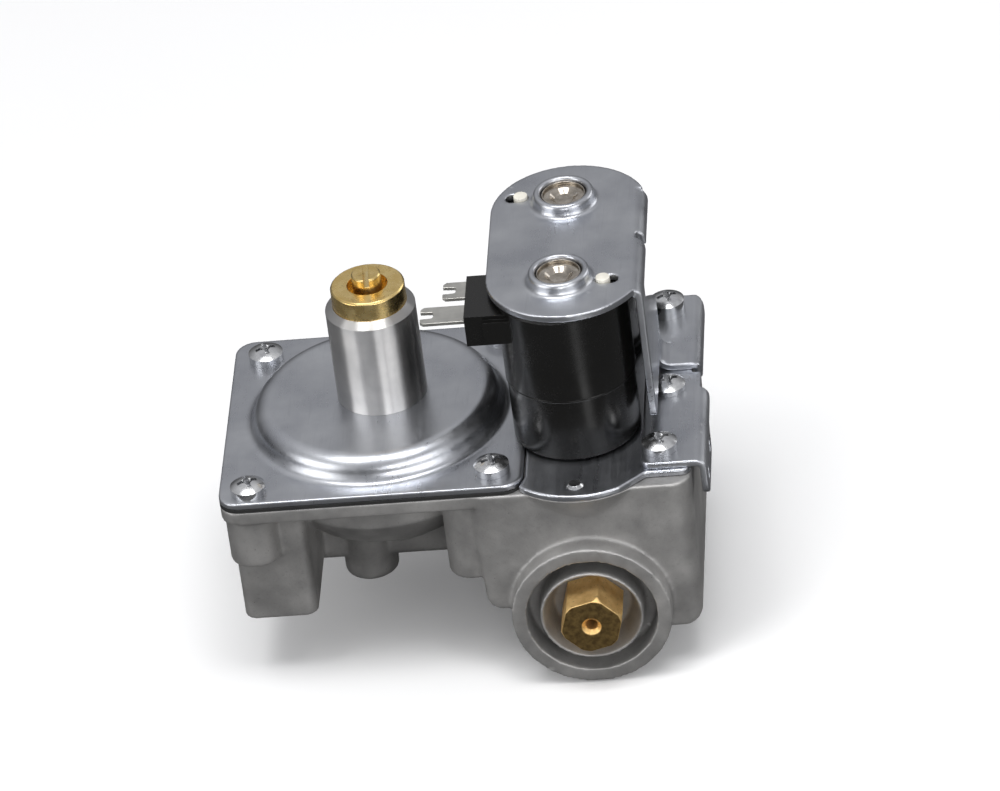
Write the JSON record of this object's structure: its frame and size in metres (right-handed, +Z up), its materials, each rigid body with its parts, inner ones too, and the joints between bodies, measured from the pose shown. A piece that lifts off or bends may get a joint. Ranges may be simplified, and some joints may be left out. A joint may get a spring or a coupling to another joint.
{
  "type": "gas valve",
  "caption": "Combination gas valve: square diaphragm regulator with spring tower beside a block with solenoid coils under a bent bracket, round outlet collar with burner orifice.",
  "frame": {"origin": "centre of the outlet collar's front plane", "axes": "+X from the regulator to the solenoids, +Y from the collar's mouth into the body, +Z up along the solenoid and regulator axes"},
  "size_m": [0.1064, 0.0929, 0.0902],
  "materials": {
    "cast_aluminium": "as die cast, fine matt grain, light sheen",
    "zinc_plated_steel": "bright zinc plate over rolled sheet",
    "zinc_plated_screw": "bright zinc plate, glossy",
    "polished_steel": "polished tube, soft turning marks",
    "nickel_plate": "nickel plate, glossy",
    "brass": "turned brass, satin",
    "black_moulding": "glossy black encapsulation",
    "black_nylon": "matt",
    "tin_plate": "dull tin plate",
    "cream_plastic": "matt cream",
    "black_rubber": "matt",
    "copper_wire": "enamelled copper winding",
    "spring_steel": "bare drawn wire"
  },
  "bodies": {
    "root": {"valve_body": "cast_aluminium", "orifice": "brass", "regulator_cover": "zinc_plated_steel", "regulator_tower": "polished_steel", "cover_screws": "zinc_plated_screw", "adjuster_bushing": "brass", "regulator_spring": "spring_steel", "diaphragm": "black_rubber", "regulator_seat": "brass", "pressure_tap_plug": "zinc_plated_screw", "bonnet_plate": "zinc_plated_steel", "bonnet_rivet": "zinc_plated_screw", "guide_tube_seals": "black_rubber", "mounting_bracket": "zinc_plated_steel", "coil_bracket": "zinc_plated_steel", "bracket_screws": "zinc_plated_screw", "coil_front": "black_moulding", "coil_back": "black_moulding", "bobbin_front": "black_nylon", "bobbin_back": "black_nylon", "winding_front": "copper_wire", "winding_back": "copper_wire", "terminals_front": "tin_plate", "terminals_back": "tin_plate", "locating_pegs": "cream_plastic", "guide_tube_front": "nickel_plate", "guide_tube_back": "nickel_plate", "core_front": "nickel_plate", "core_back": "nickel_plate", "plunger_spring_front": "spring_steel", "plunger_spring_back": "spring_steel"},
    "spring_carriage": {"spring_seat": "zinc_plated_screw"},
    "adjuster": {"adjusting_screw": "brass"},
    "regulator_valve": {"diaphragm_plate_upper": "zinc_plated_steel", "diaphragm_plate_lower": "zinc_plated_steel", "stem_nut": "zinc_plated_screw", "regulator_stem": "brass", "regulator_poppet": "black_rubber"},
    "front_plunger": {"plunger_front": "polished_steel", "valve_disc_front": "black_rubber"},
    "back_plunger": {"plunger_back": "polished_steel", "valve_disc_back": "black_rubber"}
  },
  "joints": [
    {"name": "adjuster_travel", "type": "slide", "parent": "root", "child": "spring_carriage", "axis": [0, 0, 1], "range_m": [-0.003, 0.003], "deforming": ["regulator_spring"]},
    {"name": "adjuster_turn", "type": "hinge", "parent": "spring_carriage", "child": "adjuster", "pos_m": [-0.0433, 0.0374, 0.066], "axis": [0, 0, 1], "range_deg": [-1081, 1081]},
    {"name": "regulator_lift", "type": "slide", "parent": "root", "child": "regulator_valve", "axis": [0, 0, 1], "range_m": [0, 0.0023], "stiffness_N_per_m": 400, "springref_m": -0.008, "deforming": ["diaphragm"]},
    {"name": "front_plunger_lift", "type": "slide", "parent": "root", "child": "front_plunger", "axis": [0, 0, 1], "range_m": [0, 0.003], "stiffness_N_per_m": 80, "springref_m": -0.01, "deforming": ["plunger_spring_front"]},
    {"name": "back_plunger_lift", "type": "slide", "parent": "root", "child": "back_plunger", "axis": [0, 0, 1], "range_m": [0, 0.003], "stiffness_N_per_m": 80, "springref_m": -0.01, "deforming": ["plunger_spring_back"]}
  ],
  "couplings": [
    {"joint": "adjuster_turn", "follows": "adjuster_travel", "rad_per_m": 6283.2}
  ]
}
